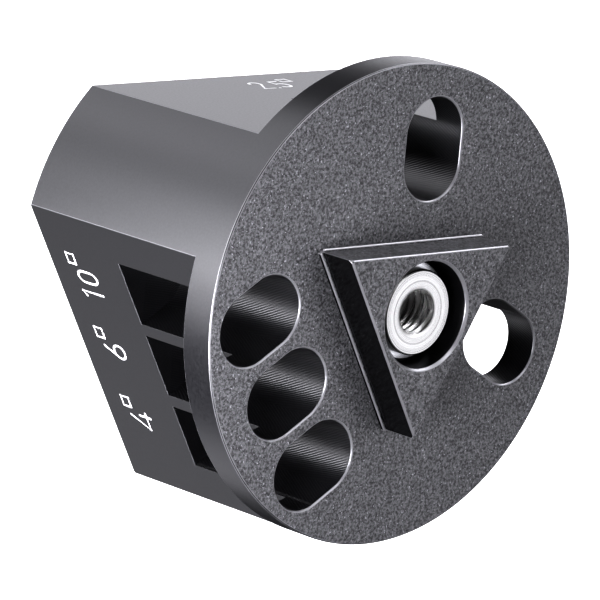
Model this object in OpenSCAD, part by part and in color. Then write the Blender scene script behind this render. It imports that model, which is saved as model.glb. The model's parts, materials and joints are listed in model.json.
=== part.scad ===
// Turret locator for a crimping tool.
// A turned block with three milled flats carries a contact slot for each wire size. It slides and turns on a
// threaded spindle against a spring, and a three-sided boss on its front holds it in one of three positions.
// The turret axis lies along Y. The front looks along -Y and the first flat looks along +Z.
// The origin is the centre of the flange's front face.

/* [Turret block] */
// Diameter of the flange and of the corners left between the flats
flange_d = 45; // [42:0.5:48]
// Thickness of the flange in front of the flats
flange_t = 3.5; // [2.5:0.1:4.5]
// Length of the block from the flange's front face to its back face
block_l = 26.6; // [25.6:0.1:30]
// Depth that each flat is cut below the corners left between the flats
flat_cut = 6.3; // [5.5:0.1:6.7]
// Width of the edge break on the flange, the slot mouths and the back rim
edge_break = 0.12; // [0.1:0.02:0.3]

/* [Contact slots] */
// Width of a slot
slot_w = 6.85; // [5.5:0.05:7]
// Distance from a side of the boss out to the inner end of a slot
slot_start = 3.75; // [3.2:0.05:4.2]
// Distance from the flange's rim in to the outer end of a slot in the middle of a flat
slot_margin = 3.3; // [2.5:0.1:4.5]
// Depth of a slot from the flange's front face
slot_depth = 16; // [10:0.5:18]
// Distance between neighbouring slots on the flat with three
slot_pitch = 8.15; // [7.8:0.05:8.6]
// Distance of a single slot from the middle of its flat
single_offset = 3; // [0:0.1:4]

/* [Index boss] */
// Distance from the axis to each side of the boss
boss_side = 5.8; // [5.6:0.05:6.2]
// Height of the boss above the flange
boss_h = 4.2; // [3.5:0.1:5]
// Diameter of the turned hub that the boss is milled from
hub_d = 23.3; // [21:0.1:24]
// Bevel turned on the front rim of that hub, left at the three corners of the boss
hub_bevel = 0.45; // [0.2:0.05:0.8]
// Width of the ledge left round the foot of the boss
foot_w = 0.25; // [0.1:0.05:0.4]
// Height of the ledge left round the foot of the boss
foot_h = 0.4; // [0.2:0.05:0.6]
// Width of the edge break round the top of the boss
top_break = 0.12; // [0.1:0.01:0.25]
// Diameter of the recess in the boss
recess_d = 10; // [9.8:0.1:10.4]
// Width of the bevel at the mouth of the recess
recess_bevel = 0.35; // [0.1:0.05:0.5]

/* [Spindle] */
// Diameter of the spindle
spindle_d = 8; // [7:0.1:8.2]
// Depth of the spindle's face below the top of the boss
face_recess = 1.2; // [0.8:0.1:1.6]
// Nominal diameter of the thread in both tapped holes and on the cap screw
thread_d = 5; // [4:0.5:5]
// Pitch of the thread
thread_pitch = 0.8; // [0.5:0.1:0.8]
// Depth of the front tapped hole
front_hole_l = 12.6; // [9:0.1:12.6]
// Thickness of the wall left between the two tapped holes
hole_wall = 1.4; // [1:0.1:2]
// Width of the bevel at the mouth of the front tapped hole
thread_mouth = 0.55; // [0.3:0.05:0.7]
// Width of the bevel on the spindle's ends
spindle_bevel = 0.15; // [0.1:0.05:0.3]

/* [Retaining ring] */
// Thickness of the retaining ring
ring_t = 0.9; // [0.7:0.05:1]
// Distance from the spindle's face back to the ring
ring_setback = 1.25; // [1:0.05:1.6]
// Depth of the ring's groove in the spindle
groove_depth = 0.4; // [0.3:0.05:0.5]
// Width of the bevel on the ring's outer edges
ring_bevel = 0.26; // [0.1:0.02:0.3]
// Width of the gap between the ring's ends
ring_gap = 1.6; // [1:0.1:2.4]

/* [Return spring] */
// Diameter of the spring wire
wire_d = 0.9; // [0.7:0.05:1]
// Gap between the spindle and the inside of the spring
spring_play = 0.7; // [0.5:0.1:0.8]
// Number of turns, with the closed end turns
spring_turns = 4.5; // [3.5:0.5:4.5]
// Length of the spring as it is fitted
spring_l = 10.8; // [10.8:0.1:11.4]
// Width of the bevel at the mouth of the well
well_bevel = 0.5; // [0.2:0.1:0.8]

/* [Washers] */
// Outer diameter of the thrust washer and of the spring plate
washer_d = 12.6; // [12:0.1:12.8]
// Thickness of the thrust washer
thrust_t = 0.6; // [0.4:0.05:0.8]
// Thickness of the spring plate
plate_t = 1.5; // [1:0.1:2]

/* [Cap screw] */
// Diameter of the screw's head
head_d = 8.5; // [8:0.1:9.5]
// Height of the screw's head
head_h = 3.5; // [2.5:0.1:3.5]
// Depth of the screw's head below the back face of the block
head_sink = 0.6; // [0.2:0.1:1.6]
// Width across the flats of the hexagon socket
socket_af = 3; // [2.5:0.5:4]
// Depth of the hexagon socket
socket_depth = 2; // [1.2:0.1:2.2]
// Gap between the screw's tip and the bottom of the rear tapped hole
tip_gap = 0.5; // [0.3:0.1:1.5]
// Width of the bevel on the screw's head
head_bevel = 0.4; // [0.1:0.05:0.6]

/* [Fits] */
// Radial play between the spindle and the block's bore
bore_play = 0.03; // [0.02:0.01:0.08]
// Radial play between the spindle and the thrust washer
washer_play = 0.2; // [0.1:0.05:0.3]
// Radial play between the retaining ring and the recess in the boss
ring_play = 0.2; // [0.2:0.05:0.3]
// Radial play between the washers and the well that holds the spring
well_play = 0.45; // [0.3:0.05:0.6]
// Radial play between the screw's shank and the spring plate
plate_play = 0.05; // [0.02:0.01:0.2]
// Gap between faces that press on each other
seat_gap = 0.05; // [0.02:0.01:0.1]
// Radial play between a screw's core and its tapped hole
thread_play = 0.02; // [0.01:0.01:0.05]

/* [Hidden] */
$fn = 96;
// Length by which cutting shapes stand past the face they open.
over = 1;
flange_r = flange_d / 2;
flat_dist = flange_r - flat_cut;
spindle_r = spindle_d / 2;
hub_r = hub_d / 2;
recess_r = recess_d / 2;
ring_r = recess_r - ring_play;
washer_r = washer_d / 2;
well_r = washer_r + well_play;
spring_r = spindle_r + spring_play + wire_d / 2;
// The outer radius of the thread, and its core radius in a tapped hole.
thread_r = thread_d / 2;
thread_core_r = thread_r - 1.0825 * thread_pitch / 2;
// The angles of the three flats round the axis, clockwise from +Z as seen from the front.
flat_turns = [0, 120, 240];
// Each slot as [turn of its flat, place along the flat].
slots = [
    [240, slot_pitch],
    [240, 0],
    [240, -slot_pitch],
    [0, single_offset],
    [120, -single_offset]
];
// Places along the axis, measured forwards from the flange's front face.
flange_back = -flange_t;
back_face = -block_l;
slot_floor = -slot_depth;
plate_back = back_face + head_sink + head_h;
spindle_back = plate_back + plate_t;
spindle_face = boss_h - face_recess;
ring_front = spindle_face - ring_setback;
ring_back = ring_front - ring_t;
recess_floor = ring_back - seat_gap;
spring_front = spindle_back + spring_l;
well_floor = spring_front + thrust_t + seat_gap;
groove_r = spindle_r - groove_depth;
// The slot's two end arcs, as distances of their centres from the axis.
slot_r = slot_w / 2;
slot_inner_c = boss_side + slot_start + slot_r;
slot_outer_c = flange_r - slot_margin - slot_r;
// Depth of the rear tapped hole, which takes the cap screw's shank.
rear_hole_l = spindle_face - front_hole_l - hole_wall - spindle_back;

// Lays a shape that is drawn round Z with its front up so that its front looks along -Y.
module lay() {
    rotate([90, 0, 0]) children();
}

// Turns a shape drawn on the +Y side of the axis to the flat at the given turn.
module at_flat(turn) {
    rotate([0, 0, -turn]) children();
}

// A straight round rod between two places along the axis.
module rod(r, low, high) {
    translate([0, 0, low]) cylinder(r = r, h = high - low);
}

// A cone between two places along the axis, with the radius at each.
module cone(r_low, r_high, low, high) {
    translate([0, 0, low]) cylinder(r1 = r_low, r2 = r_high, h = high - low);
}

// The slot's cutter: a bar with round ends, and the bevel at its mouth.
module slot_cutter(place) {
    mouth_r = slot_r + edge_break + over;
    bar_l = slot_outer_c - slot_inner_c;
    translate([place, 0, 0]) {
        for (c = [slot_inner_c, slot_outer_c])
            translate([0, c, 0]) {
                rod(slot_r, slot_floor, over);
                cone(slot_r, mouth_r, -edge_break, over);
            }
        translate([-slot_r, slot_inner_c, slot_floor])
            cube([slot_w, bar_l, over - slot_floor]);
        translate([0, slot_outer_c, 0])
            rotate([90, 0, 0])
                linear_extrude(bar_l)
                    polygon([
                        [-slot_r, -edge_break],
                        [slot_r, -edge_break],
                        [mouth_r, over],
                        [-mouth_r, over]
                    ]);
    }
}

// The three-sided boss, milled from a turned hub: three equal bars each give one side with its ledge.
module boss() {
    reach = flange_r;
    intersection() {
        rotate_extrude()
            polygon([
                [0, -over],
                [hub_r, -over],
                [hub_r, boss_h - hub_bevel],
                [hub_r - hub_bevel - over, boss_h + over],
                [0, boss_h + over]
            ]);
        intersection_for (turn = flat_turns)
            at_flat(turn)
                translate([-reach, 0, 0])
                    rotate([90, 0, 90])
                        linear_extrude(2 * reach)
                            polygon([
                                [-reach, -over],
                                [boss_side + foot_w, -over],
                                [boss_side + foot_w, foot_h],
                                [boss_side, foot_h],
                                [boss_side, boss_h - top_break],
                                [boss_side - top_break, boss_h],
                                [-reach, boss_h]
                            ]);
    }
}

// The turned blank with the flange, cut to the three flats behind it.
module blank() {
    difference() {
        rotate_extrude()
            polygon([
                [0, back_face],
                [flange_r - edge_break, back_face],
                [flange_r, back_face + edge_break],
                [flange_r, -edge_break],
                [flange_r - edge_break, 0],
                [0, 0]
            ]);
        for (turn = flat_turns)
            at_flat(turn)
                translate([-flange_r, flat_dist, back_face - over])
                    cube([flange_d, flange_r, flange_back - back_face + over]);
    }
}

module turret_block() {
    color("#2b2b2d")
        lay()
            difference() {
                union() {
                    blank();
                    boss();
                }
                for (slot = slots)
                    at_flat(slot[0]) slot_cutter(slot[1]);
                rod(spindle_r + bore_play, well_floor - over, recess_floor + over);
                rod(recess_r, recess_floor, boss_h + over);
                cone(recess_r, recess_r + recess_bevel + over, boss_h - recess_bevel, boss_h + over);
                rod(well_r, back_face - over, well_floor);
                cone(well_r + well_bevel + over, well_r, back_face - over, back_face + well_bevel);
            }
}

module spindle_sleeve() {
    mouth_r = thread_core_r + thread_mouth;
    color("#d6d7d9")
        lay()
            difference() {
                rotate_extrude()
                    polygon([
                        [0, spindle_back],
                        [spindle_r - spindle_bevel, spindle_back],
                        [spindle_r, spindle_back + spindle_bevel],
                        [spindle_r, ring_back - seat_gap],
                        [groove_r, ring_back - seat_gap],
                        [groove_r, ring_front + seat_gap],
                        [spindle_r, ring_front + seat_gap],
                        [spindle_r, spindle_face - spindle_bevel],
                        [spindle_r - spindle_bevel, spindle_face],
                        [0, spindle_face]
                    ]);
                rod(thread_core_r, spindle_face - front_hole_l, spindle_face + over);
                cone(thread_core_r, mouth_r + over, spindle_face - thread_mouth, spindle_face + over);
                rod(thread_core_r, spindle_back - over, spindle_back + rear_hole_l);
            }
}

module retaining_ring() {
    color("#b9bbbe")
        lay()
            difference() {
                rotate_extrude()
                    polygon([
                        [groove_r + seat_gap, ring_back],
                        [ring_r - ring_bevel, ring_back],
                        [ring_r, ring_back + ring_bevel],
                        [ring_r, ring_front - ring_bevel],
                        [ring_r - ring_bevel, ring_front],
                        [groove_r + seat_gap, ring_front]
                    ]);
                rotate([0, 0, -45])
                    translate([0, -ring_gap / 2, ring_back - over])
                        cube([2 * ring_r, ring_gap, ring_t + 2 * over]);
            }
}

module thrust_washer() {
    color("#a8aaad")
        lay()
            difference() {
                rod(washer_r, spring_front, spring_front + thrust_t);
                rod(spindle_r + washer_play, spring_front - over, spring_front + thrust_t + over);
            }
}

// The middle line of the spring at turn t. Its first and last turns lie closed.
function spring_rise(t) =
    let (open_turns = spring_turns - 2, open_rise = spring_l - 3 * wire_d)
    t <= 1 ? t * wire_d
    : t >= spring_turns - 1 ? spring_l - wire_d - (spring_turns - t) * wire_d
    : wire_d + (t - 1) * (open_rise) / open_turns;
function spring_point(t, side, sides) =
    let (r = spring_r + wire_d / 2 * cos(360 * side / sides))
    [
        r * cos(360 * t),
        r * sin(360 * t),
        spindle_back + wire_d / 2 + spring_rise(t) + wire_d / 2 * sin(360 * side / sides)
    ];

module return_spring() {
    sides = 10;
    steps = 20;
    last = round(spring_turns * steps);
    rings = [for (i = [0 : last], s = [0 : sides - 1]) spring_point(i / steps, s, sides)];
    walls = [
        for (i = [0 : last - 1], s = [0 : sides - 1])
            let (next = (s + 1) % sides)
            [i * sides + s, i * sides + next, (i + 1) * sides + next, (i + 1) * sides + s]
    ];
    start_cap = [[for (s = [sides - 1 : -1 : 0]) s]];
    end_cap = [[for (s = [0 : sides - 1]) last * sides + s]];
    color("#9a9ca0")
        lay()
            polyhedron(points = rings, faces = concat(walls, start_cap, end_cap), convexity = 6);
}

module spring_plate() {
    color("#b9bbbe")
        lay()
            difference() {
                rod(washer_r, plate_back, spindle_back);
                rod(thread_r + plate_play, plate_back - over, spindle_back + over);
            }
}

module cap_screw() {
    head_r = head_d / 2;
    shank_r = thread_core_r - thread_play;
    head_back = plate_back - head_h;
    shank_front = spindle_back + rear_hole_l - tip_gap;
    color("#3a3b3d")
        lay()
            difference() {
                rotate_extrude()
                    polygon([
                        [0, head_back],
                        [head_r - head_bevel, head_back],
                        [head_r, head_back + head_bevel],
                        [head_r, plate_back],
                        [shank_r, plate_back],
                        [shank_r, shank_front],
                        [0, shank_front]
                    ]);
                translate([0, 0, head_back - over])
                    cylinder(d = socket_af / cos(30), h = socket_depth + over, $fn = 6);
            }
}

turret_block();
spindle_sleeve();
retaining_ring();
thrust_washer();
return_spring();
spring_plate();
cap_screw();
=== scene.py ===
"""Looks of a turret locator for a crimping tool.

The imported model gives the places. Here the block gets its machined edges and blasted, anodised skin, the
spindle its thread and turned face, the flats their white number marks, and the whole its light, floor and
camera. Shapes are drawn in millimetres and laid into the frame, in metres, when they are finished.
"""
import json
import math

import bmesh
import bpy
from mathutils import Matrix, Vector


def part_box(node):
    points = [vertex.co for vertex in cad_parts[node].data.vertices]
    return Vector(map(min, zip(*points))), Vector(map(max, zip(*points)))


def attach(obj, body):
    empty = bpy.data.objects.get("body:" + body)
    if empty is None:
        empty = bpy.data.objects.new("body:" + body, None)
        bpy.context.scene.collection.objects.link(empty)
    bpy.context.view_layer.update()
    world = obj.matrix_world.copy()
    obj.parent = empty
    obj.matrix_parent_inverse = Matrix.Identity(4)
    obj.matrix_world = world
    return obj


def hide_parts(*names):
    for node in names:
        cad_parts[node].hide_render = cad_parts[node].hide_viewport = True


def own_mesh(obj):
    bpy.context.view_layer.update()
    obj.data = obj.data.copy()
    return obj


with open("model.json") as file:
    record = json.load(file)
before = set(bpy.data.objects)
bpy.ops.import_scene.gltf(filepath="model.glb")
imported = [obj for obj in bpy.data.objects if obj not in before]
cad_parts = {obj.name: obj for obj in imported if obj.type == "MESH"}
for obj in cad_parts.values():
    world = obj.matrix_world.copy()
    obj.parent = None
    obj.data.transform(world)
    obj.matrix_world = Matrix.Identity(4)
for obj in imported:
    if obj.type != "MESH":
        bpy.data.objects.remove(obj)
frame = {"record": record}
bpy.context.view_layer.update()

# ---------------------------------------------------------------- sizes
MM = 0.001


def box_mm(node):
    """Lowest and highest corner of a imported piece, in millimetres."""
    low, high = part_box(node)
    return low / MM, high / MM


BLOCK_LOW, BLOCK_HIGH = box_mm("turret_block")
SLEEVE_LOW, SLEEVE_HIGH = box_mm("spindle_sleeve")
RING_LOW, RING_HIGH = box_mm("retaining_ring")
THRUST_LOW, THRUST_HIGH = box_mm("thrust_washer")
SPRING_LOW, SPRING_HIGH = box_mm("return_spring")
PLATE_LOW, PLATE_HIGH = box_mm("spring_plate")
SCREW_LOW, SCREW_HIGH = box_mm("cap_screw")
THREAD_MOUNT = next(m for m in frame["record"]["mounts"] if m["name"] == "spindle_thread")

# The block, in millimetres. A "front" is a distance forwards from the flange's front face.
FLANGE_R = BLOCK_HIGH.x
BOSS_H = -BLOCK_LOW.y
BACK_FACE = -BLOCK_HIGH.y
FLANGE_BACK = -3.5
FLAT_DIST = FLANGE_R - 6.3
EDGE_BREAK = 0.12
SLOT_FLOOR = -16
SLOT_R = 3.425
SLOT_INNER = 9.55 + SLOT_R
SLOT_OUTER = FLANGE_R - 3.3 - SLOT_R
SLOT_PITCH = 8.15
SINGLE_OFFSET = 3
FLATS = {"top": 0, "right": 120, "left": 240}
SLOTS = [
    (FLATS["left"], SLOT_PITCH),
    (FLATS["left"], 0),
    (FLATS["left"], -SLOT_PITCH),
    (FLATS["top"], SINGLE_OFFSET),
    (FLATS["right"], -SINGLE_OFFSET),
]
BOSS_SIDE = 5.8
HUB_R = 11.65
HUB_BEVEL = 0.45
FOOT_W, FOOT_H = 0.25, 0.4
LEDGE_BREAK = 0.11
TOP_BREAK = 0.12
RECESS_R = 5
RECESS_BEVEL = 0.22
SEAT_GAP = 0.05
RECESS_FLOOR = -RING_HIGH.y - SEAT_GAP
BORE_R = SLEEVE_HIGH.x + 0.03
WELL_R = PLATE_HIGH.x + 0.45
WELL_BEVEL = 0.5
WELL_FLOOR = SEAT_GAP - THRUST_LOW.y

# The spindle and what it carries, in millimetres.
SPINDLE_R = SLEEVE_HIGH.x
SPINDLE_FACE = -SLEEVE_LOW.y
SPINDLE_BACK = -SLEEVE_HIGH.y
SPINDLE_BEVEL = 0.15
CORE_R = THREAD_MOUNT["dims"]["r_mm"]
THREAD_PITCH = 0.8
THREAD_MOUTH = 0.45
MOUTH_DEPTH = 0.14
THREAD_DEPTH = 0.5413 * THREAD_PITCH
FRONT_HOLE = 12.6
REAR_HOLE = 10
RING_R = max(RING_HIGH.z, -RING_LOW.x)
RING_BEVEL = 0.26
RING_GAP = 1.6
RING_GAP_TURN = 135
RING_BORE_BREAK = 0.05
GROOVE_R = SPINDLE_R - 0.4
WASHER_BORE = SPINDLE_R + 0.2
WASHER_BREAK = 0.08
PLATE_BORE = 2.55
PLATE_BORE_BREAK = 0.12
PLATE_BREAK = 0.2
WIRE_D = 0.9
SPRING_TURNS = 4.5
HEAD_BEVEL = 0.4
KNURL_TEETH = 54
KNURL_DEPTH = 0.12
SOCKET_AF = 3
SOCKET_DEPTH = 2
SHANK_R = CORE_R - 0.02

# Edges that a deburring tool leaves, in millimetres.
SOFT_EDGE = 0.045
FINE_EDGE = 0.03

# Steps round a turned shape, and round a small one.
AROUND = 192
AROUND_SMALL = 96
# How far what is cut away reaches past the surface, and what is joined on reaches into it, in millimetres.
PAST = 1
# A face looks along a direction when this much of its normal does.
SQUARE_ON = 0.9


def place(x, up, front):
    """A point of the part in the frame's directions, from its place as seen from the front."""
    return Vector((x, -front, up))


def on_flat(turn, along, out, front):
    """A point given along a flat and out from the axis, for the flat at that turn."""
    a = math.radians(turn)
    return place(along * math.cos(a) + out * math.sin(a), out * math.cos(a) - along * math.sin(a), front)


# ---------------------------------------------------------------- node helpers
def paint(code):
    """A hex sRGB colour as linear RGBA."""
    channels = [int(code[i : i + 2], 16) / 255 for i in (1, 3, 5)]
    linear = [c / 12.92 if c <= 0.04045 else ((c + 0.055) / 1.055) ** 2.4 for c in channels]
    return (*linear, 1)


def fill(node, inputs):
    """Fills or links a node's inputs by name or number. A node as a value stands for its first output."""
    for key, value in inputs.items():
        if isinstance(value, bpy.types.Node):
            value = value.outputs[0]
        if isinstance(value, bpy.types.NodeSocket):
            node.id_data.links.new(value, node.inputs[key])
        else:
            node.inputs[key].default_value = value


def add(tree, kind, inputs=None, **settings):
    """Adds a node with its settings, and fills or links its inputs."""
    made = tree.nodes.new(kind)
    for name, value in settings.items():
        setattr(made, name, value)
    fill(made, inputs or {})
    return made


# ---------------------------------------------------------------- finishes
# The index of refraction of the sealed oxide film that anodising leaves.
OXIDE_FILM = 1.65
# The depth of what a cutting tool leaves, in millimetres.
TOOL_MARK = 0.02
# Nearly all of a noise lies between these two values.
NOISE_LOW, NOISE_HIGH = 0.3, 0.7


def finish_of(name, **sockets):
    """A new material with one Principled shader, and its tree and shader to build on."""
    made = bpy.data.materials.new(name)
    made.use_nodes = True
    tree = made.node_tree
    tree.nodes.clear()
    shader = add(tree, "ShaderNodeBsdfPrincipled", {k.replace("_", " "): v for k, v in sockets.items()})
    add(tree, "ShaderNodeOutputMaterial", {"Surface": shader})
    return made, tree, shader


def vary(tree, shader, pattern, tints=None, relief=None, **ranges):
    """Lets a pattern steer a finish: its colour by two (place, colour) tints, its bumps by a strength and a
    depth, and any other input between its values where the pattern is low and where it is high."""
    if tints:
        tint = add(tree, "ShaderNodeValToRGB", {"Fac": pattern})
        for stop, (spot, code) in zip(tint.color_ramp.elements, tints):
            stop.position = spot
            stop.color = paint(code)
        fill(shader, {"Base Color": tint})
    if relief:
        strength, depth = relief
        bump = add(tree, "ShaderNodeBump", {"Height": pattern, "Strength": strength, "Distance": depth * MM})
        fill(shader, {"Normal": bump})
    for socket, (low, high) in ranges.items():
        reach = {"From Min": NOISE_LOW, "From Max": NOISE_HIGH, "To Min": low, "To Max": high}
        fill(shader, {socket: add(tree, "ShaderNodeMapRange", {"Value": pattern, **reach})})


def blasted_anodised():
    """Black anodised aluminium, bead-blasted: a dull, dark grey skin, speckled by the marks of the beads."""
    made, tree, shader = finish_of("bead_blasted_black_anodised_aluminium", IOR=OXIDE_FILM)
    spot = add(tree, "ShaderNodeTexCoord").outputs["Object"]
    # The flange lies in a plane of the noise's own grid. A small step off it gives all faces the same grain.
    step = (0, 0.05 * MM, 0)
    where = add(tree, "ShaderNodeVectorMath", {0: spot, 1: step}, operation="ADD")
    # Fine beads leave marks of about 0.1 mm. They are drawn coarser, so that they show.
    bead = 0.27 * MM
    dents = {"Vector": where, "Scale": 1 / bead, "Detail": 3, "Roughness": 0.75}
    grain = add(tree, "ShaderNodeTexNoise", dents)
    tints = [(0.38, "#0e0e0f"), (0.64, "#747476")]
    vary(tree, shader, grain, tints, (0.45, 0.04), Roughness=(0.45, 0.58))
    # Single beads that struck deep leave pale specks about half a millimetre apart.
    speck = 0.22 * MM
    strikes = add(tree, "ShaderNodeTexNoise", {"Vector": where, "Scale": 1 / speck, "Detail": 1})
    pale = add(tree, "ShaderNodeMapRange", {"Value": strikes, "From Min": 0.67, "From Max": 0.75})
    skin = shader.inputs["Base Color"].links[0].from_socket
    mix = {"Factor": pale, "A": skin, "B": paint("#a2a2a6")}
    speckled = add(tree, "ShaderNodeMix", mix, data_type="RGBA")
    fill(shader, {"Base Color": speckled.outputs["Result"]})
    return made


def slotted_anodised():
    """Black anodised aluminium as the slot cutter left it: black and satin, with fine slanting marks."""
    made, tree, shader = finish_of("slotted_black_anodised_aluminium", Roughness=0.34, IOR=OXIDE_FILM)
    where = add(tree, "ShaderNodeUVMap", uv_map="slot_wall")
    slant = (0, 0, math.radians(-64))
    across = add(tree, "ShaderNodeMapping", {"Vector": where, "Rotation": slant})
    # At a scale of 1, the texture's bands lie a tenth of pi apart.
    mark_gap = 0.24 * MM
    bands = {"Vector": across, "Scale": math.pi / (10 * mark_gap), "Distortion": 1, "Detail": 1}
    marks = add(tree, "ShaderNodeTexWave", bands, wave_type="BANDS", bands_direction="Y")
    # The crests of the marks are rubbed a little paler than the black between them.
    crests = [(0.5, "#040405"), (0.9, "#242426")]
    vary(tree, shader, marks.outputs["Fac"], crests, (0.7, TOOL_MARK))
    return made


def milled_anodised(name, shade_of_black, smoothest, roughest):
    """Black anodised aluminium, milled smooth: a black satin face with a faint unevenness."""
    made, tree, shader = finish_of(name, Base_Color=paint(shade_of_black), IOR=OXIDE_FILM)
    where = add(tree, "ShaderNodeTexCoord").outputs["Object"]
    ripple = 0.2 * MM
    drift = add(tree, "ShaderNodeTexNoise", {"Vector": where, "Scale": 1 / ripple, "Detail": 3})
    vary(tree, shader, drift, Roughness=(smoothest, roughest))
    return made


def highlit_worn_edge():
    """A broken edge of the black anodised aluminium, pale and half bare metal: a painted highlight, worn in
    patches.
    """
    made, tree, shader = finish_of("highlit_worn_anodised_edge", Base_Color=paint("#8a8a8c"))
    where = add(tree, "ShaderNodeTexCoord").outputs["Object"]
    # The pale finish varies in patches a few millimetres long, like wear from hands.
    patch = 2 * MM
    wear = add(tree, "ShaderNodeTexNoise", {"Vector": where, "Scale": 1 / patch, "Detail": 3})
    vary(tree, shader, wear, Metallic=(0.4, 0.5), Roughness=(0.32, 0.28))
    return made


def feed_marks(tree, feed):
    """The marks of a lathe's feed: rings on a turned piece's faces, and circles round its walls."""
    where = add(tree, "ShaderNodeTexCoord").outputs["Object"]
    parts = add(tree, "ShaderNodeSeparateXYZ", {"Vector": where}).outputs
    flat = add(tree, "ShaderNodeCombineXYZ", {"X": parts["X"], "Z": parts["Z"]})
    radius = add(tree, "ShaderNodeVectorMath", {0: flat}, operation="LENGTH").outputs["Value"]
    reach = add(tree, "ShaderNodeMath", {0: radius, 1: parts["Y"]}, operation="ADD")
    steps = add(tree, "ShaderNodeMath", {0: reach, 1: 1 / feed}, operation="MULTIPLY")
    rings = {"W": steps, "Scale": 1, "Detail": 3, "Roughness": 0.7}
    return add(tree, "ShaderNodeTexNoise", rings, noise_dimensions="1D")


def turned_anodised():
    """Black anodised aluminium, bored on the lathe: black, with fine rings."""
    made, tree, shader = finish_of(
        "turned_black_anodised_aluminium", Roughness=0.3, Base_Color=paint("#060607"), IOR=OXIDE_FILM
    )
    vary(tree, shader, feed_marks(tree, 0.12 * MM), relief=(0.25, TOOL_MARK))
    return made


def rim_anodised():
    """Black anodised aluminium, turned and lightly blasted: a dark satin wall with a fine, soft grain."""
    made, tree, shader = finish_of("satin_black_anodised_aluminium", IOR=OXIDE_FILM)
    where = add(tree, "ShaderNodeTexCoord").outputs["Object"]
    # The grain is that of fine beads, drawn coarser as on the blasted faces.
    bead = 0.2 * MM
    grain = add(tree, "ShaderNodeTexNoise", {"Vector": where, "Scale": 1 / bead, "Detail": 2})
    vary(tree, shader, grain, [(0.3, "#1a1a1c"), (0.7, "#262628")], Roughness=(0.3, 0.37))
    return made


def nickel_plated(name, dirt_and_light, plating_and_light):
    """Nickel-plated steel, turned or tapped: nearly white, with fine concentric rings."""
    made, tree, shader = finish_of(name, Metallic=1)
    # A finishing cut feeds about 0.1 mm a turn. The rings are drawn twice as coarse, so that they show.
    rings = feed_marks(tree, 0.2 * MM)
    # The feed marks hold a little dirt: the rings show as slightly darker lines.
    vary(tree, shader, rings, [(0.38, dirt_and_light), (0.56, plating_and_light)], (0.8, TOOL_MARK), Roughness=(0.2, 0.36))
    return made


def bright_steel():
    """Bright steel strip, ground and tumbled: grey, with a soft sheen."""
    made, tree, shader = finish_of("bright_steel", Metallic=1, Base_Color=paint("#c0c1c3"))
    vary(tree, shader, feed_marks(tree, 0.15 * MM), relief=(0.2, TOOL_MARK), Roughness=(0.24, 0.38))
    return made


def drawn_wire():
    """Drawn spring wire, oil-tempered: darker grey steel with a dull sheen."""
    made, tree, shader = finish_of("drawn_spring_steel", Metallic=1, Base_Color=paint("#8b8c8f"))
    where = add(tree, "ShaderNodeTexCoord").outputs["Object"]
    stain = 0.6 * MM
    stains = add(tree, "ShaderNodeTexNoise", {"Vector": where, "Scale": 1 / stain, "Detail": 3})
    vary(tree, shader, stains, Roughness=(0.28, 0.42))
    return made


def black_oxide():
    """Black oxide on a steel screw: a dark, slightly oily skin over a metal."""
    made, tree, shader = finish_of("black_oxide_steel", Metallic=0.6, Base_Color=paint("#1d1d1f"))
    where = add(tree, "ShaderNodeTexCoord").outputs["Object"]
    stain = 0.8 * MM
    stains = add(tree, "ShaderNodeTexNoise", {"Vector": where, "Scale": 1 / stain, "Detail": 4})
    vary(tree, shader, stains, Roughness=(0.3, 0.45))
    return made


def marking_white():
    """White marking paint, wiped into the marks: flat and opaque, with a slightly uneven cover."""
    made, tree, shader = finish_of("white_marking_paint", Roughness=0.6)
    where = add(tree, "ShaderNodeTexCoord").outputs["Object"]
    patch = 0.3 * MM
    cover = add(tree, "ShaderNodeTexNoise", {"Vector": where, "Scale": 1 / patch, "Detail": 2})
    vary(tree, shader, cover, [(0, "#e6e6e6"), (1, "#ffffff")])
    return made


BLASTED = blasted_anodised()
# The pale finish of the broken edges is a painted highlight.
EDGE = highlit_worn_edge()
RIM = rim_anodised()
MILLED = milled_anodised("milled_black_anodised_aluminium", "#19191b", 0.31, 0.36)
# A darker copy of the milled finish for the boss's lower walls: painted shade, on a smoother surface.
SHADED_BOSS_WALL = milled_anodised("shaded_finely_milled_black_anodised_aluminium", "#070708", 0.13, 0.17)
SLOT_WALL = slotted_anodised()
TURNED_BLACK = turned_anodised()
NICKEL = nickel_plated("turned_nickel_plated_steel", "#8c8c8b", "#c2c2c0")
# The tapped thread gets paler tints than the turned face: painted light, which makes the thread look lit
# inside its bore.
LIT_TAPPED = nickel_plated("lit_tapped_nickel_plated_steel", "#d2d2d0", "#ececea")
STEEL = bright_steel()
WIRE = drawn_wire()
OXIDE = black_oxide()
WHITE = marking_white()


# ---------------------------------------------------------------- shape helpers
def piece(name, mesh):
    """An object for the mesh, shown in the scene."""
    made = bpy.data.objects.new(name, mesh)
    bpy.context.scene.collection.objects.link(made)
    return made


def solid(name, material, loops, joined_round=False):
    """A closed solid skinned over loops of points. Its ends are filled, or joined if it goes right round."""
    shape = bmesh.new()
    rings = [[shape.verts.new(point) for point in loop] for loop in loops]
    count = len(rings[0])
    pairs = list(zip(rings, rings[1:]))
    if joined_round:
        pairs.append((rings[-1], rings[0]))
    else:
        shape.faces.new(rings[0])
        shape.faces.new(rings[-1])
    for low, high in pairs:
        for i in range(count):
            j = (i + 1) % count
            shape.faces.new((low[i], low[j], high[j], high[i]))
    bmesh.ops.recalc_face_normals(shape, faces=shape.faces)
    mesh = bpy.data.meshes.new(name)
    shape.to_mesh(mesh)
    shape.free()
    mesh.materials.append(material)
    return piece(name, mesh)


def turned(name, material, profile, around=AROUND):
    """A solid turned round the axis from (radius, front) points."""
    turns = [2 * math.pi * i / around for i in range(around)]
    loops = [[place(r * math.sin(t), r * math.cos(t), front) for t in turns] for r, front in profile]
    return solid(name, material, loops)


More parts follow.
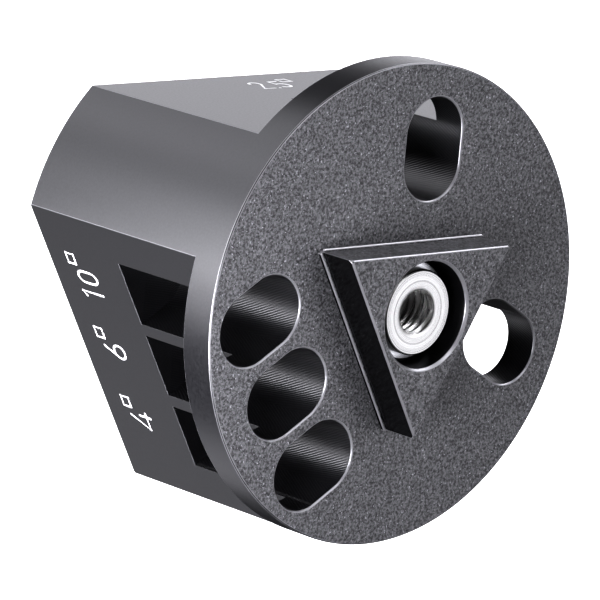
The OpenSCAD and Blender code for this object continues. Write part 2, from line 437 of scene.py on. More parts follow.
def hoop(name, material, section, gap=0, middle=0):
    """A ring from its section's (radius, front) points. A split ring has a gap of some width at a turn."""
    widest = max(r for r, front in section)
    skip = 2 * math.asin(gap / 2 / widest)
    start = math.radians(middle) + skip / 2
    loops = []
    for i in range(AROUND + 1 if gap else AROUND):
        t = start + (2 * math.pi - skip) * i / AROUND
        loops.append([place(r * math.sin(t), r * math.cos(t), front) for r, front in section])
    return solid(name, material, loops, joined_round=gap == 0)


def dress(made, finishes):
    """Gives the faces that pass each test its finish."""
    for finish, chosen in finishes.items():
        made.data.materials.append(finish)
        for face in made.data.polygons:
            if chosen(face):
                face.material_index = len(made.data.materials) - 1
    return made


def joined(name, parts):
    """One object from several that don't touch."""
    shape = bmesh.new()
    for part in parts:
        shape.from_mesh(part.data)
    mesh = bpy.data.meshes.new(name)
    shape.to_mesh(mesh)
    shape.free()
    for material in parts[0].data.materials:
        mesh.materials.append(material)
    for part in parts:
        bpy.data.objects.remove(part)
    return piece(name, mesh)


def settle(made):
    """Turns an object and its modifiers into a plain mesh."""
    seen = made.evaluated_get(bpy.context.evaluated_depsgraph_get())
    mesh = bpy.data.meshes.new_from_object(seen)
    made.modifiers.clear()
    made.data = mesh
    return made


def carve(made, tool, operation="DIFFERENCE"):
    """Cuts the tool's shape out of a solid, or joins it on, with the tool's finish on the new faces."""
    step = made.modifiers.new("carve", "BOOLEAN")
    step.operation = operation
    step.object = tool
    step.solver = "EXACT"
    step.material_mode = "TRANSFER"
    settle(made)
    bpy.data.objects.remove(tool)
    return made


def soften(made, width=SOFT_EDGE, angle=38, finish=None):
    """Breaks the outer edges by a hair, as deburring does, and shades the faces evenly."""
    shape = bmesh.new()
    shape.from_mesh(made.data)
    bmesh.ops.remove_doubles(shape, verts=shape.verts, dist=0.002)
    weight = shape.edges.layers.float.new("bevel_weight_edge")
    for edge in shape.edges:
        if edge.is_convex and edge.calc_face_angle(0) > math.radians(angle):
            edge[weight] = 1
    shape.to_mesh(made.data)
    shape.free()
    bevel = made.modifiers.new("deburr", "BEVEL")
    bevel.width = width
    bevel.segments = 3
    bevel.limit_method = "WEIGHT"
    bevel.use_clamp_overlap = False
    if finish:
        bevel.material = made.data.materials.find(finish.name)
    settle(made)
    return shade(made)


def shade(made, angle=35):
    """Smooth shading that stays crisp over edges sharper than the angle, and even over large faces."""
    shape = bmesh.new()
    shape.from_mesh(made.data)
    for face in shape.faces:
        face.smooth = True
    for edge in shape.edges:
        edge.smooth = edge.calc_face_angle(math.pi) < math.radians(angle)
    shape.to_mesh(made.data)
    shape.free()
    even = made.modifiers.new("even", "WEIGHTED_NORMAL")
    even.keep_sharp = True
    return settle(made)


def lay_in(made, body, *nodes, slot=None):
    """Scales a finished shape to metres and hands it to its body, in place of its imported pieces."""
    made.data.transform(Matrix.Scale(MM, 4))
    made.data.update()
    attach(made, body)
    if nodes:
        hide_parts(*nodes)


# ---------------------------------------------------------------- node trees for shapes
QUARTER_TURN = math.radians(90)
STEPS_A_TURN = 48


def shape_tree(name, sizes, other=None):
    """A new geometry tree with a named input for each size and for the finish, and its inputs."""
    tree = bpy.data.node_groups.new(name, "GeometryNodeTree")
    kinds = {**(other or {}), **dict.fromkeys(sizes, "NodeSocketFloat"), "Finish": "NodeSocketMaterial"}
    for label, kind in kinds.items():
        tree.interface.new_socket(name=label, in_out="INPUT", socket_type=kind)
    tree.interface.new_socket(name="Geometry", in_out="OUTPUT", socket_type="NodeSocketGeometry")
    return tree, add(tree, "NodeGroupInput").outputs


def close_tree(tree, geometry, finish):
    """Ends a tree with real geometry in its finish."""
    real = add(tree, "GeometryNodeRealizeInstances", {"Geometry": geometry})
    dressed = add(tree, "GeometryNodeSetMaterial", {"Geometry": real, "Material": finish})
    add(tree, "NodeGroupOutput", {"Geometry": dressed})
    return tree


def grow(made, tree, values):
    """Runs a tree on an object with the given sizes, and leaves a plain mesh."""
    step = made.modifiers.new(tree.name, "NODES")
    step.node_group = tree
    for item in tree.interface.items_tree:
        if item.in_out == "INPUT" and item.name in values:
            step[item.identifier] = values[item.name]
    return settle(made)


def thread_tree():
    """A trapezoid swept along a right-hand helix: the groove that a tap cuts."""
    tree, given = shape_tree("tapped_groove", ["Core radius", "Depth", "Pitch", "Turns"])
    # The section starts a little inside the core, so that the cut leaves no skin over the groove.
    inset = 0.1
    flanks = 2 * math.tan(math.radians(30))
    top = add(tree, "ShaderNodeMath", {0: given["Pitch"], 1: 1 / 8}, operation="MULTIPLY")
    reach = add(tree, "ShaderNodeMath", {0: given["Depth"], 1: inset}, operation="ADD")
    bottom = add(tree, "ShaderNodeMath", {0: reach, 1: flanks, 2: top}, operation="MULTIPLY_ADD")
    half = {0: given["Depth"], 1: 0.5, 2: -inset / 2}
    outside = add(tree, "ShaderNodeMath", half, operation="MULTIPLY_ADD")
    middle = add(tree, "ShaderNodeMath", {0: given["Core radius"], 1: outside}, operation="ADD")
    length = add(tree, "ShaderNodeMath", {0: given["Pitch"], 1: given["Turns"]}, operation="MULTIPLY")
    helix = add(
        tree,
        "GeometryNodeCurveSpiral",
        {
            "Resolution": STEPS_A_TURN,
            "Rotations": given["Turns"],
            "Start Radius": middle,
            "End Radius": middle,
            "Height": length,
            "Reverse": True,
        },
    )
    level = add(tree, "GeometryNodeSetCurveNormal", {"Curve": helix}, mode="Z_UP")
    sides = {"Bottom Width": bottom, "Top Width": top, "Offset": 0, "Height": reach}
    section = add(tree, "GeometryNodeCurvePrimitiveQuadrilateral", sides, mode="TRAPEZOID")
    outwards = add(tree, "GeometryNodeTransform", {"Geometry": section, "Rotation": (0, 0, -QUARTER_TURN)})
    swept = add(
        tree, "GeometryNodeCurveToMesh", {"Curve": level, "Profile Curve": outwards, "Fill Caps": True}
    )
    # The helix is drawn upwards and then laid to run backwards from the front.
    laid = add(tree, "GeometryNodeTransform", {"Geometry": swept, "Rotation": (-QUARTER_TURN, 0, 0)})
    return close_tree(tree, laid, given["Finish"])


def spring_tree():
    """Round wire on a helix whose first and last turns lie closed."""
    tree, given = shape_tree("closed_end_spring", ["Coil radius", "Wire", "Turns", "Length"])
    flat_coil = add(
        tree,
        "GeometryNodeCurveSpiral",
        {
            "Resolution": STEPS_A_TURN,
            "Rotations": given["Turns"],
            "Start Radius": given["Coil radius"],
            "End Radius": given["Coil radius"],
            "Height": 0,
            "Reverse": True,
        },
    )
    along = add(tree, "GeometryNodeSplineParameter").outputs["Factor"]
    turn = add(tree, "ShaderNodeMath", {0: along, 1: given["Turns"]}, operation="MULTIPLY")
    # One turn lies closed at each end. The rest climbs what three thicknesses of wire leave of the length.
    open_turns = add(tree, "ShaderNodeMath", {0: given["Turns"], 1: 2}, operation="SUBTRACT")
    ends = add(tree, "ShaderNodeMath", {0: given["Wire"], 1: 3}, operation="MULTIPLY")
    climb = add(tree, "ShaderNodeMath", {0: given["Length"], 1: ends}, operation="SUBTRACT")
    pitch = add(tree, "ShaderNodeMath", {0: climb, 1: open_turns}, operation="DIVIDE")
    past_first = add(tree, "ShaderNodeMath", {0: turn, 1: 1}, operation="SUBTRACT")
    begun = add(tree, "ShaderNodeMath", {0: past_first, 1: 0}, operation="MAXIMUM")
    opened = add(tree, "ShaderNodeMath", {0: begun, 1: open_turns}, operation="MINIMUM")
    closed = add(tree, "ShaderNodeMath", {0: turn, 1: opened}, operation="SUBTRACT")
    flat_rise = add(tree, "ShaderNodeMath", {0: closed, 1: given["Wire"]}, operation="MULTIPLY")
    rise = add(tree, "ShaderNodeMath", {0: opened, 1: pitch, 2: flat_rise}, operation="MULTIPLY_ADD")
    lift = add(tree, "ShaderNodeCombineXYZ", {"Z": rise})
    coil = add(tree, "GeometryNodeSetPosition", {"Geometry": flat_coil, "Offset": lift})
    radius = add(tree, "ShaderNodeMath", {0: given["Wire"], 1: 0.5}, operation="MULTIPLY")
    circle = {"Resolution": 16, "Radius": radius}
    section = add(tree, "GeometryNodeCurvePrimitiveCircle", circle, mode="RADIUS")
    swept = add(tree, "GeometryNodeCurveToMesh", {"Curve": coil, "Profile Curve": section, "Fill Caps": True})
    laid = add(tree, "GeometryNodeTransform", {"Geometry": swept, "Rotation": (QUARTER_TURN, 0, 0)})
    return close_tree(tree, laid, given["Finish"])


def knurl_tree():
    """A cylinder with straight teeth round it and a plain bevel at its top, as on the head of a cap screw."""
    sizes = ["Radius", "Height", "Bevel", "Depth"]
    tree, given = shape_tree("straight_knurl", sizes, {"Teeth": "NodeSocketInt"})
    around = add(tree, "ShaderNodeMath", {0: given["Teeth"], 1: 2}, operation="MULTIPLY")
    drum = {"Vertices": around, "Side Segments": 2, "Radius": given["Radius"], "Depth": given["Height"]}
    barrel = add(tree, "GeometryNodeMeshCylinder", drum, fill_type="NGON")
    # The middle ring moves up to the foot of the bevel, and the top ring shrinks to its upper end.
    spot = add(tree, "GeometryNodeInputPosition")
    height = add(tree, "ShaderNodeSeparateXYZ", {"Vector": spot}).outputs["Z"]
    quarter = add(tree, "ShaderNodeMath", {0: given["Height"], 1: 0.25}, operation="MULTIPLY")
    on_top = add(tree, "ShaderNodeMath", {0: height, 1: quarter}, operation="GREATER_THAN")
    off_middle = add(tree, "ShaderNodeMath", {0: height}, operation="ABSOLUTE")
    in_middle = add(tree, "ShaderNodeMath", {0: off_middle, 1: quarter}, operation="LESS_THAN")
    drop = add(tree, "ShaderNodeMath", {0: given["Bevel"], 1: -1}, operation="MULTIPLY")
    foot = add(tree, "ShaderNodeMath", {0: given["Height"], 1: 0.5, 2: drop}, operation="MULTIPLY_ADD")
    rise = add(tree, "ShaderNodeMath", {0: in_middle, 1: foot}, operation="MULTIPLY")
    # Every second point of the lower rings lies in a valley between two teeth.
    index = add(tree, "GeometryNodeInputIndex")
    valley = add(tree, "ShaderNodeMath", {0: index, 1: 2}, operation="MODULO")
    cut = add(tree, "ShaderNodeMath", {0: valley, 1: given["Depth"]}, operation="MULTIPLY")
    below = add(tree, "ShaderNodeMath", {0: 1, 1: on_top}, operation="SUBTRACT")
    tooth = add(tree, "ShaderNodeMath", {0: cut, 1: below}, operation="MULTIPLY")
    shrink = add(tree, "ShaderNodeMath", {0: on_top, 1: given["Bevel"], 2: tooth}, operation="MULTIPLY_ADD")
    flat = add(tree, "ShaderNodeVectorMath", {0: spot, 1: (-1, -1, 0)}, operation="MULTIPLY")
    inward = add(tree, "ShaderNodeVectorMath", {0: flat}, operation="NORMALIZE")
    pull = add(tree, "ShaderNodeVectorMath", {0: inward, "Scale": shrink}, operation="SCALE")
    lift = add(tree, "ShaderNodeCombineXYZ", {"Z": rise})
    move = add(tree, "ShaderNodeVectorMath", {0: pull, 1: lift}, operation="ADD")
    teeth = add(tree, "GeometryNodeSetPosition", {"Geometry": barrel, "Offset": move})
    laid = add(tree, "GeometryNodeTransform", {"Geometry": teeth, "Rotation": (-QUARTER_TURN, 0, 0)})
    return close_tree(tree, laid, given["Finish"])


def stroke_tree():
    """Paint laid along lines: a low bead with round ends and corners, flat on the XY plane."""
    tree, given = shape_tree("painted_stroke", ["Width", "Thickness"], {"Lines": "NodeSocketGeometry"})
    radius = add(tree, "ShaderNodeMath", {0: given["Width"], 1: 0.5}, operation="MULTIPLY")
    path = add(tree, "GeometryNodeMeshToCurve", {"Mesh": given["Lines"]})
    circle = {"Resolution": 10, "Radius": radius}
    section = add(tree, "GeometryNodeCurvePrimitiveCircle", circle, mode="RADIUS")
    bead = add(tree, "GeometryNodeCurveToMesh", {"Curve": path, "Profile Curve": section, "Fill Caps": True})
    ball = add(tree, "GeometryNodeMeshUVSphere", {"Segments": 10, "Rings": 6, "Radius": radius})
    ends = add(tree, "GeometryNodeInstanceOnPoints", {"Points": given["Lines"], "Instance": ball})
    both = add(tree, "GeometryNodeJoinGeometry", {"Geometry": ends})
    fill(both, {"Geometry": bead})
    squeeze = add(tree, "ShaderNodeMath", {0: given["Thickness"], 1: given["Width"]}, operation="DIVIDE")
    press = add(tree, "ShaderNodeCombineXYZ", {"X": 1, "Y": 1, "Z": squeeze})
    low = add(tree, "GeometryNodeTransform", {"Geometry": both, "Scale": press})
    return close_tree(tree, low, given["Finish"])


# ---------------------------------------------------------------- the turret block
def blank():
    """The turned blank: a plain cylinder with its rims broken, blasted on its front."""
    rim = FLANGE_R - EDGE_BREAK
    made = turned(
        "turret_block_finish",
        RIM,
        [(rim, BACK_FACE), (FLANGE_R, BACK_FACE + EDGE_BREAK), (FLANGE_R, -EDGE_BREAK), (rim, 0)],
    )
    dress(made, {BLASTED: lambda face: face.normal.y < -SQUARE_ON})
    made.data.materials.append(EDGE)
    return made


def slanted(face):
    """True for the narrow faces that break an edge."""
    return 0.2 < abs(face.normal.y) < SQUARE_ON


def shaded_lower_wall(face):
    """True for the boss's lower walls, painted darker as shade. The top wall keeps the paler blasted finish,
    as painted light.
    """
    return abs(face.normal.y) < 0.1 and face.normal.z < SQUARE_ON


def boss():
    """The three-sided index boss, milled from a turned hub down to a ledge at its foot, its edges broken."""
    levels = [
        (BOSS_SIDE + FOOT_W, -PAST),
        (BOSS_SIDE + FOOT_W, FOOT_H - LEDGE_BREAK),
        (BOSS_SIDE + FOOT_W - LEDGE_BREAK, FOOT_H),
        (BOSS_SIDE, FOOT_H),
        (BOSS_SIDE, BOSS_H - TOP_BREAK),
        (BOSS_SIDE - TOP_BREAK, BOSS_H),
    ]
    # A corner lies between two flats, twice as far out as the sides.
    corners = [turn + 60 for turn in FLATS.values()]
    made = solid("boss", BLASTED, [[on_flat(c, 0, 2 * d, front) for c in corners] for d, front in levels])
    # The lower walls get the darker finish as painted shade; the top wall keeps the paler blasted finish as
    # painted light.
    dress(made, {SHADED_BOSS_WALL: shaded_lower_wall, EDGE: slanted})
    beyond_corners = HUB_R + 3
    hub = [
        (HUB_R, -2 * PAST),
        (HUB_R, BOSS_H - HUB_BEVEL),
        (HUB_R - HUB_BEVEL - PAST, BOSS_H + PAST),
        (beyond_corners, BOSS_H + PAST),
        (beyond_corners, -2 * PAST),
    ]
    return carve(made, hoop("waste", BLASTED, hub))


def flat_waste(turn):
    """What the mill takes away for one flat, behind the flange."""
    front, back = FLANGE_BACK, BACK_FACE - PAST
    sides = [(-FLANGE_R, front), (FLANGE_R, front), (FLANGE_R, back), (-FLANGE_R, back)]
    outs = (FLAT_DIST, FLANGE_R + 2 * PAST)
    loops = [[on_flat(turn, along, out, level) for along, level in sides] for out in outs]
    return solid("waste", MILLED, loops)


def slot_waste(turn, middle):
    """What the slot cutter takes away, with the bevel at the slot's mouth."""
    steps = 40
    loops = []
    for wider, front in [(0, SLOT_FLOOR), (0, -EDGE_BREAK), (EDGE_BREAK + PAST, PAST)]:
        radius = SLOT_R + wider
        outline = []
        for end, start in ((SLOT_OUTER, 0), (SLOT_INNER, math.pi)):
            for i in range(steps + 1):
                t = start + math.pi * i / steps
                along, out = middle + radius * math.cos(t), end + radius * math.sin(t)
                outline.append(on_flat(turn, along, out, front))
        loops.append(outline)
    return dress(solid("waste", SLOT_WALL, loops), {EDGE: slanted})


def bore_waste():
    """What the lathe takes away along the axis: the recess, the spindle's bore and the spring's well."""
    made = turned(
        "waste",
        TURNED_BLACK,
        [
            (WELL_R + WELL_BEVEL + PAST, BACK_FACE - PAST),
            (WELL_R, BACK_FACE + WELL_BEVEL),
            (WELL_R, WELL_FLOOR),
            (BORE_R, WELL_FLOOR),
            (BORE_R, RECESS_FLOOR),
            (RECESS_R, RECESS_FLOOR),
            (RECESS_R, BOSS_H - RECESS_BEVEL),
            (RECESS_R + RECESS_BEVEL + PAST, BOSS_H + PAST),
        ],
    )
    return dress(made, {EDGE: lambda face: slanted(face) and face.center.y < 0})


def slot_place(spot, turn, middle):
    """A point's way along and out, from a slot's middle line and the axis."""
    a = math.radians(turn)
    along = spot.x * math.cos(a) - spot.z * math.sin(a) - middle
    return along, spot.x * math.sin(a) + spot.z * math.cos(a)


def nearest_slot(near):
    """The slot whose wall lies nearest to a point: the gap to that wall, and the slot's turn and middle."""
    found = []
    for turn, middle in SLOTS:
        along, out = slot_place(near, turn, middle)
        gap = abs(math.hypot(along, max(out - SLOT_OUTER, SLOT_INNER - out, 0)) - SLOT_R)
        found.append((gap, turn, middle))
    return min(found)


def slot_chart(spot, near):
    """The way round its slot and the depth, in metres, of a corner of the slot wall's face at a place."""
    turn, middle = nearest_slot(near)[1:]
    along, out = slot_place(spot, turn, middle)
    face_along, face_out = slot_place(near, turn, middle)
    if face_out > SLOT_OUTER:
        round_way = SLOT_R * math.atan2(out - SLOT_OUTER, along)
    elif face_out < SLOT_INNER:
        round_way = -SLOT_R * (math.pi / 2 + math.atan2(along, SLOT_INNER - out))
    else:
        round_way = math.copysign(out, face_along)
    return round_way * MM, spot.y * MM


def chart_slot_walls(made):
    """Unrolls the slots' walls into a UV map in metres: the way round a slot, and the depth."""
    chart = made.data.uv_layers.new(name="slot_wall")
    wall = made.data.materials.find(SLOT_WALL.name)
    for face in made.data.polygons:
        if face.material_index != wall:
            continue
        for corner in face.loop_indices:
            spot = made.data.vertices[made.data.loops[corner].vertex_index].co
            chart.data[corner].uv = slot_chart(spot, face.center)


def blacken_windows(made):
    """Gives the edges where the slots open through the flats the slots' black finish, not the painted
    highlight of the other edges.
    """
    edge = made.data.materials.find(EDGE.name)
    wall = made.data.materials.find(SLOT_WALL.name)
    for face in made.data.polygons:
        deep = face.center.y > EDGE_BREAK + 2 * SOFT_EDGE
        if face.material_index == edge and deep and nearest_slot(face.center)[0] < 3 * SOFT_EDGE:
            face.material_index = wall


def turret_block():
    """The block: turned, given its boss, milled to three flats, slotted, bored and deburred."""
    made = blank()
    carve(made, boss(), "UNION")
    for turn in FLATS.values():
        carve(made, flat_waste(turn))
    for turn, middle in SLOTS:
        carve(made, slot_waste(turn, middle))
    carve(made, bore_waste())
    soften(made, finish=EDGE)
    blacken_windows(made)
    chart_slot_walls(made)
    lay_in(made, "turret", "turret_block", slot="black_anodised_aluminium")


# ---------------------------------------------------------------- the spindle and what it carries
def thread_waste(front, length):
    """The tapped groove over a length behind a place on the axis."""
    groove = grow(
        piece("groove", bpy.data.meshes.new("groove")),
        thread_tree(),
        {
            "Core radius": CORE_R,
            "Depth": THREAD_DEPTH,
            "Pitch": THREAD_PITCH,
            "Turns": length / THREAD_PITCH,
            "Finish": LIT_TAPPED,
        },
    )
    groove.data.transform(Matrix.Translation(place(0, 0, front)))
    return groove


def spindle_sleeve():
    """The spindle: turned, grooved for its ring, drilled and tapped from both ends, and nickel-plated."""
    ring_back = -RING_HIGH.y - SEAT_GAP
    ring_front = -RING_LOW.y + SEAT_GAP
    made = turned(
        "spindle_finish",
        NICKEL,
        [
            (SPINDLE_R - SPINDLE_BEVEL, SPINDLE_BACK),
            (SPINDLE_R, SPINDLE_BACK + SPINDLE_BEVEL),
            (SPINDLE_R, ring_back),
            (GROOVE_R, ring_back),
            (GROOVE_R, ring_front),
            (SPINDLE_R, ring_front),
            (SPINDLE_R, SPINDLE_FACE - SPINDLE_BEVEL),
            (SPINDLE_R - SPINDLE_BEVEL, SPINDLE_FACE),
        ],
    )
    front_drill = [
        (CORE_R, SPINDLE_FACE - FRONT_HOLE),
        (CORE_R, SPINDLE_FACE - MOUTH_DEPTH),
        (CORE_R + THREAD_MOUTH, SPINDLE_FACE),
        (CORE_R + THREAD_MOUTH, SPINDLE_FACE + PAST),
    ]
    rear_drill = [(CORE_R, SPINDLE_BACK - PAST), (CORE_R, SPINDLE_BACK + REAR_HOLE)]
    drilled = turned("waste", LIT_TAPPED, front_drill, around=AROUND_SMALL)
    carve(made, dress(drilled, {NICKEL: lambda face: abs(face.normal.y) > SQUARE_ON}))
    carve(made, turned("waste", LIT_TAPPED, rear_drill, around=AROUND_SMALL))
    first = SPINDLE_FACE - MOUTH_DEPTH - THREAD_PITCH / 2
    carve(made, thread_waste(first, FRONT_HOLE - THREAD_PITCH - SPINDLE_FACE + first))
    carve(made, thread_waste(SPINDLE_BACK + REAR_HOLE - THREAD_PITCH, REAR_HOLE))
    shade(made, 30)
    lay_in(made, "spindle", "spindle_sleeve", slot="nickel_plated_steel")


def broken(inner, outer, back, front, inner_break, outer_break):
    """The section of a flat ring whose edges are broken."""
    return [
        (inner + inner_break, back),
        (outer - outer_break, back),
        (outer, back + outer_break),
        (outer, front - outer_break),
        (outer - outer_break, front),
        (inner + inner_break, front),
        (inner, front - inner_break),
        (inner, back + inner_break),
    ]


def retaining_ring():
    """The split ring of bright spring strip in the spindle's groove."""
    bore = GROOVE_R + SEAT_GAP
    section = broken(bore, RING_R, -RING_HIGH.y, -RING_LOW.y, RING_BORE_BREAK, RING_BEVEL)
    made = hoop("retaining_ring_finish", STEEL, section, gap=RING_GAP, middle=RING_GAP_TURN)
    soften(made, FINE_EDGE)
    lay_in(made, "spindle", "retaining_ring", slot="bright_steel")


def thrust_washer():
    """The plain washer between the spring and the floor of its well."""
    back, front = -THRUST_HIGH.y, -THRUST_LOW.y
    section = broken(WASHER_BORE, THRUST_HIGH.x, back, front, WASHER_BREAK, WASHER_BREAK)
    made = shade(hoop("thrust_washer_finish", STEEL, section))
    lay_in(made, "slider", "thrust_washer", slot="bright_steel")


def spring_plate():
    """The thick washer that the cap screw clamps to the spindle's end, and that carries the spring."""
    back, front = -PLATE_HIGH.y, -PLATE_LOW.y
    section = broken(PLATE_BORE, PLATE_HIGH.x, back, front, PLATE_BORE_BREAK, PLATE_BREAK)
    made = hoop("spring_plate_finish", STEEL, section)
    soften(made, FINE_EDGE)
    lay_in(made, "spindle", "spring_plate", slot="bright_steel")


def return_spring():
    """The spring in its well, which closes up as the turret is pushed back over its spindle."""
    made = grow(
        piece("return_spring_finish", bpy.data.meshes.new("return_spring_finish")),
        spring_tree(),
        {
            "Coil radius": SPRING_HIGH.x - WIRE_D / 2,
            "Wire": WIRE_D,
            "Turns": SPRING_TURNS,
            "Length": SPRING_HIGH.y - SPRING_LOW.y,
            "Finish": WIRE,
        },
    )
    made.data.transform(Matrix.Translation(place(0, 0, -SPRING_HIGH.y + WIRE_D / 2)))
    shade(made)
    lay_in(made, "spindle", "return_spring", slot="spring_steel")
    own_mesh(made)


def cap_screw():
    """The socket cap screw: a knurled, bevelled head and a shank, blackened."""
    head_back = -SCREW_HIGH.y
    head_front = -PLATE_HIGH.y
    made = grow(
        piece("cap_screw_finish", bpy.data.meshes.new("cap_screw_finish")),
        knurl_tree(),
        {
            "Radius": SCREW_HIGH.x,
            "Height": head_front - head_back,
            "Bevel": HEAD_BEVEL,
            "Teeth": KNURL_TEETH,
            "Depth": KNURL_DEPTH,
            "Finish": OXIDE,
        },
    )
    made.data.transform(Matrix.Translation(place(0, 0, (head_back + head_front) / 2)))
    corner = SOCKET_AF / math.sqrt(3)
    turns = [i * math.pi / 3 for i in range(6)]
    depths = (head_back - PAST, head_back + SOCKET_DEPTH)
    hexagon = [[place(corner * math.cos(t), corner * math.sin(t), front) for t in turns] for front in depths]
    carve(made, solid("socket", OXIDE, hexagon))
    inside_head = head_front - 0.5
    shank = [(SHANK_R, inside_head), (SHANK_R, -SCREW_LOW.y)]
    carve(made, turned("shank", OXIDE, shank, around=AROUND_SMALL), "UNION")
    shade(made, 40)
    lay_in(made, "spindle", "cap_screw", slot="black_oxide_steel")


# ---------------------------------------------------------------- the number marks
def bend(cx, cy, rx, ry, start, end, steps=14):
    """Points along part of an oval, by degrees from its right-hand end."""
    turns = [math.radians(start + (end - start) * i / steps) for i in range(steps + 1)]
    return [(cx + rx * math.cos(t), cy + ry * math.sin(t)) for t in turns]


# Each mark's strokes, in millimetres across from its middle and up from its foot.
MARKS = {
    "0": [bend(0, 1.9, 0.62, 0.85, 0, 180) + bend(0, 0.95, 0.62, 0.85, 180, 360) + [(0.62, 1.9)]],
    "1": [[(-0.45, 2.55), (0.05, 2.95), (0.05, 0.05)]],
    "2": [[(-0.6, 2.25)] + bend(0, 2.25, 0.6, 0.62, 180, -20) + [(-0.6, 0.15), (0.68, 0.15)]],
    "4": [[(0.3, 2.9), (-0.9, 0.6), (1.0, 0.6)], [(0.55, 1.55), (0.55, 0)]],
    "5": [[(0.5, 2.8), (-0.45, 2.8), (-0.45, 1.65)] + bend(-0.05, 1.0, 0.68, 0.78, 110, -140)],
    "6": [[(0.3, 2.9), (-0.68, 1.15)] + bend(0, 0.88, 0.74, 0.76, 160, 520, 24)],
    ".": [[(0, 0.1), (0.02, 0.1)]],
    "square": [[(-0.56, 2.45), (0.56, 2.45), (0.56, 3.5), (-0.56, 3.5), (-0.56, 2.45)]],
}
# Each slot's wire size: where its marks stand along the flat.
SIZES = [
    ("left", {"1": 6.65, "0": 8.46, "square": 10.29}),
    ("left", {"6": 0.07, "square": 1.81}),
    ("left", {"4": -8.0, "square": -6.2}),
    ("top", {"2": 1.15, ".": 2.39, "5": 3.72, "square": 5.42}),
    ("right", {"1": -5.05, ".": -3.85, "5": -2.5, "square": -0.85}),
]
MARK_FOOT = -20.4
STROKE_W = 0.28
STROKE_T = 0.05


def number_marks():
    """The wire sizes, filled in white on the flats by their slots."""
    strokes = stroke_tree()
    parts = []
    for flat, marks in SIZES:
        shape = bmesh.new()
        for mark, middle in marks.items():
            for stroke in MARKS[mark]:
                points = [shape.verts.new((middle + x, up, 0)) for x, up in stroke]
                for low, high in zip(points, points[1:]):
                    shape.edges.new((low, high))
        lines = bpy.data.meshes.new("marks")
        shape.to_mesh(lines)
        shape.free()
        values = {"Width": STROKE_W, "Thickness": STROKE_T, "Finish": WHITE}
        made = grow(piece("marks", lines), strokes, values)
        corner = on_flat(FLATS[flat], 0, FLAT_DIST, MARK_FOOT)
        right = on_flat(FLATS[flat], 1, FLAT_DIST, MARK_FOOT) - corner
        up = on_flat(FLATS[flat], 0, FLAT_DIST, MARK_FOOT - 1) - corner
        out = on_flat(FLATS[flat], 0, FLAT_DIST + 1, MARK_FOOT) - corner
        made.data.transform(Matrix.Translation(corner) @ Matrix((right, up, out)).transposed().to_4x4())
        parts.append(made)
    lay_in(shade(joined("number_marks", parts)), "turret")


turret_block()
number_marks()
spindle_sleeve()
retaining_ring()
thrust_washer()
return_spring()
spring_plate()
cap_screw()


# ---------------------------------------------------------------- light, floor and camera
def pale_floor():
    """A plain pale sheet, so far below the part that it is an even white round it."""
    made, tree, shader = finish_of("pale_floor", Roughness=0.9, Base_Color=paint("#fafafa"))
    # The sheet is a light table's: it glows, which keeps it white to its far edge.
    fill(shader, {"Emission Color": paint("#ffffff"), "Emission Strength": 0.8})
    # Half the sheet's side, and its height, in metres.
    half = 4
    drop = -0.07
    corners = [(-half, -half), (half, -half), (half, half), (-half, half)]
    shape = bmesh.new()
    shape.faces.new([shape.verts.new((x, y, drop)) for x, y in corners])
    mesh = bpy.data.meshes.new("floor")
    shape.to_mesh(mesh)
    shape.free()
    mesh.materials.append(made)
    floor = piece("floor", mesh)
    # The part is lit from all round, so the sheet neither shows in its dark faces nor stands in its light.
    floor.visible_diffuse = False
    floor.visible_glossy = False
    floor.visible_shadow = False


# The lamps' white is a little cool, which gives the black skin its faint blue.
COOL_WHITE = (0.98, 0.975, 1.03)

# Each soft light's way round and above the part in degrees, its distance and size in metres, and its watts.
SOFTBOXES = {
    "front_right_low": (38, -11, 0.2, 0.093, 0.052),
    "left_close": (290, -10, 0.08, 0.037, 0.11),
    "left_behind": (240, 15, 0.2, 0.093, 0.15),
    "left_behind_far": (240, 0, 0.6, 0.28, 1.6),
    "left_behind_high": (215, 28, 0.6, 0.28, 0.37),
    "right_behind": (135, 12, 0.6, 0.28, 0.31),
    "right_far": (40, 15, 0.6, 0.28, 0.5),
    "front_high": (0, 45, 0.2, 0.093, 0.11),
    "right_high": (80, 45, 0.6, 0.28, 1.4),
    "right_front_high": (60, 60, 0.6, 0.28, 0.45),
    "behind_high": (195, 45, 0.6, 0.28, 0.45),
    "behind_low": (180, -40, 0.6, 0.28, 0.22),
    "behind_level": (165, -5, 0.6, 0.4, 1.2),
}


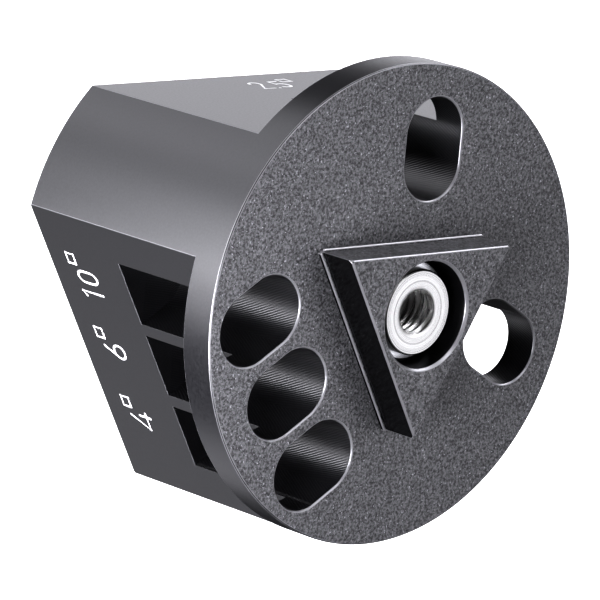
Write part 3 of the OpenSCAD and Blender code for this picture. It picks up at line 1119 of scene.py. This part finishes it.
def softbox(name, azimuth, elevation, distance, size, power):
    """A square soft light that looks at the part's origin."""
    light = bpy.data.lights.new(name, "AREA")
    light.size = size
    light.energy = power
    light.color = COOL_WHITE
    lamp = bpy.data.objects.new(name, light)
    bpy.context.scene.collection.objects.link(lamp)
    a, e = math.radians(azimuth), math.radians(elevation)
    way = Vector((math.sin(a) * math.cos(e), -math.cos(a) * math.cos(e), math.sin(e)))
    lamp.location = way * distance
    lamp.rotation_euler = way.to_track_quat("Z", "Y").to_euler()
    lamp.visible_camera = False


def studio():
    """Soft surroundings, brighter above than below, and soft lights round the part."""
    world = bpy.data.worlds.new("studio")
    world.use_nodes = True
    tree = world.node_tree
    way = add(tree, "ShaderNodeTexCoord").outputs["Generated"]
    height = add(tree, "ShaderNodeSeparateXYZ", {"Vector": way}).outputs["Z"]
    horizon = {"Value": height, "From Min": -0.1, "From Max": 0.1, "To Min": 0.03, "To Max": 0.07}
    strength = add(tree, "ShaderNodeMapRange", horizon)
    fill(tree.nodes["Background"], {"Strength": strength, "Color": (*COOL_WHITE, 1)})
    bpy.context.scene.world = world
    for name, settings in SOFTBOXES.items():
        softbox(name, *settings)


def camera():
    """A long lens from the front left, a little above the part and turned a little about its own axis."""
    turn, rise, roll = math.radians(-43.43), math.radians(12.06), math.radians(5.26)
    aim = Vector((-1.0, 11.58, -1.95)) * MM
    distance = 0.4975
    back = Vector((math.sin(turn) * math.cos(rise), -math.cos(turn) * math.cos(rise), math.sin(rise)))
    right = Vector((math.cos(turn), math.sin(turn), 0))
    up = back.cross(right)
    turned_right = right * math.cos(roll) + up * math.sin(roll)
    turned_up = back.cross(turned_right)
    data = bpy.data.cameras.new("camera")
    data.lens = 322.3
    data.sensor_width = 36
    data.clip_start = 0.01
    data.clip_end = 100
    made = bpy.data.objects.new("camera", data)
    bpy.context.scene.collection.objects.link(made)
    turned_frame = Matrix((turned_right, turned_up, back)).transposed().to_4x4()
    made.matrix_world = Matrix.Translation(aim + back * distance) @ turned_frame
    bpy.context.scene.camera = made


pale_floor()
studio()
camera()
bpy.context.scene.view_settings.view_transform = "Standard"
bpy.context.scene.view_settings.look = "High Contrast"

bpy.context.view_layer.update()
